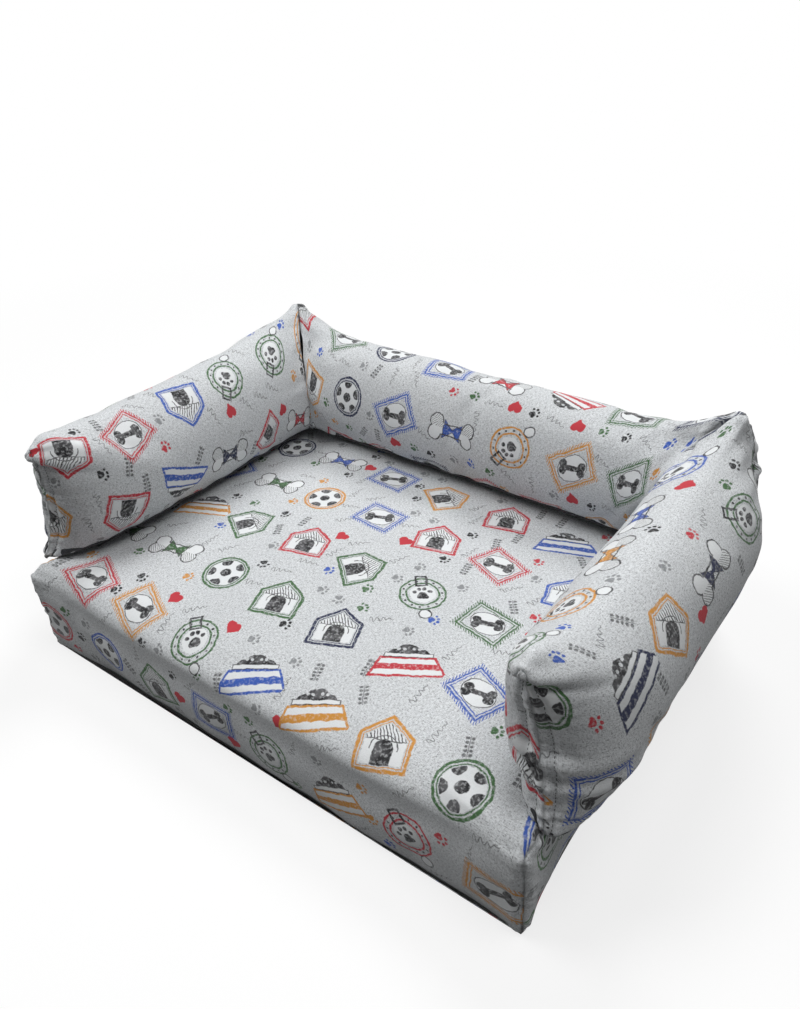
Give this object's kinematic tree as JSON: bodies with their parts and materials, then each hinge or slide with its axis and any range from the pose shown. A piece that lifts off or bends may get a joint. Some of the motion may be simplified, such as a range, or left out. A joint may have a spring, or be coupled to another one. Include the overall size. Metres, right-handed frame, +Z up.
{
  "type": "pet sofa bed",
  "caption": "Pet sofa bed: a zipped foam mattress under a lift-off U-shaped ring of mitred, stuffed bolsters, open at the front.",
  "frame": {"origin": "middle of the bed's footprint, on the floor", "axes": "+Z up, -Y out of the open front, +X to the right-hand bolster as seen from the front"},
  "size_m": [0.7008, 0.5043, 0.2745],
  "materials": {
    "mattress_print": "printed woven canvas, matt",
    "bolster_print": "printed woven canvas, matt",
    "dark_cloth": "dark plain weave, matt",
    "foam": "open-cell foam",
    "fibre": "loose polyester fibre",
    "zip_tape": "woven tape",
    "zip_teeth": "moulded",
    "zip_metal": "nickel-plated",
    "loop_strip": "looped pile",
    "hook_strip": "moulded hooks"
  },
  "bodies": {
    "mattress": {"mattress_foam": "foam", "mattress_top_panel": "mattress_print", "mattress_left_panel": "mattress_print", "mattress_right_panel": "mattress_print", "mattress_back_panel": "mattress_print", "mattress_base_panel": "dark_cloth", "mattress_zip_tape_upper": "zip_tape", "mattress_zip_tape_lower": "zip_tape", "mattress_zip_teeth_upper": "zip_teeth", "mattress_zip_teeth_lower": "zip_teeth", "mattress_zip_stops": "zip_metal", "loop_strip_left": "loop_strip", "loop_strip_back": "loop_strip", "loop_strip_right": "loop_strip"},
    "mattress_slider": {"mattress_zip_slider": "zip_metal"},
    "mattress_pull": {"mattress_zip_pull": "zip_metal"},
    "ring": {"left_cover": "bolster_print", "back_cover": "bolster_print", "right_cover": "bolster_print", "left_base_cloth": "dark_cloth", "back_base_cloth": "dark_cloth", "right_base_cloth": "dark_cloth", "left_filling": "fibre", "back_filling": "fibre", "right_filling": "fibre", "hook_strip_left": "hook_strip", "hook_strip_back": "hook_strip", "hook_strip_right": "hook_strip", "ring_zip_tape_upper": "zip_tape", "ring_zip_tape_lower": "zip_tape", "ring_zip_teeth_upper": "zip_teeth", "ring_zip_teeth_lower": "zip_teeth", "ring_zip_stops": "zip_metal"},
    "ring_slider": {"ring_zip_slider": "zip_metal"},
    "ring_pull": {"ring_zip_pull": "zip_metal"}
  },
  "joints": [
    {"name": "ring_lift", "type": "slide", "parent": "mattress", "child": "ring", "axis": [0, 0, 1], "range_m": [0, 0.3]},
    {"name": "mattress_slider_run", "type": "slide", "parent": "mattress", "child": "mattress_slider", "axis": [-1, 0, 0], "range_m": [0, 0.4544]},
    {"name": "mattress_pull_swing", "type": "hinge", "parent": "mattress_slider", "child": "mattress_pull", "pos_m": [0.2272, 0.2289, 0.054], "axis": [0, 0, -1], "range_deg": [0, 160]},
    {"name": "ring_slider_run", "type": "slide", "parent": "ring", "child": "ring_slider", "axis": [-1, 0, 0], "range_m": [0, 0.2844]},
    {"name": "ring_pull_swing", "type": "hinge", "parent": "ring_slider", "child": "ring_pull", "pos_m": [0.1422, 0.25221, 0.15425], "axis": [0, -0.1462, -0.9892], "range_deg": [0, 160]}
  ]
}
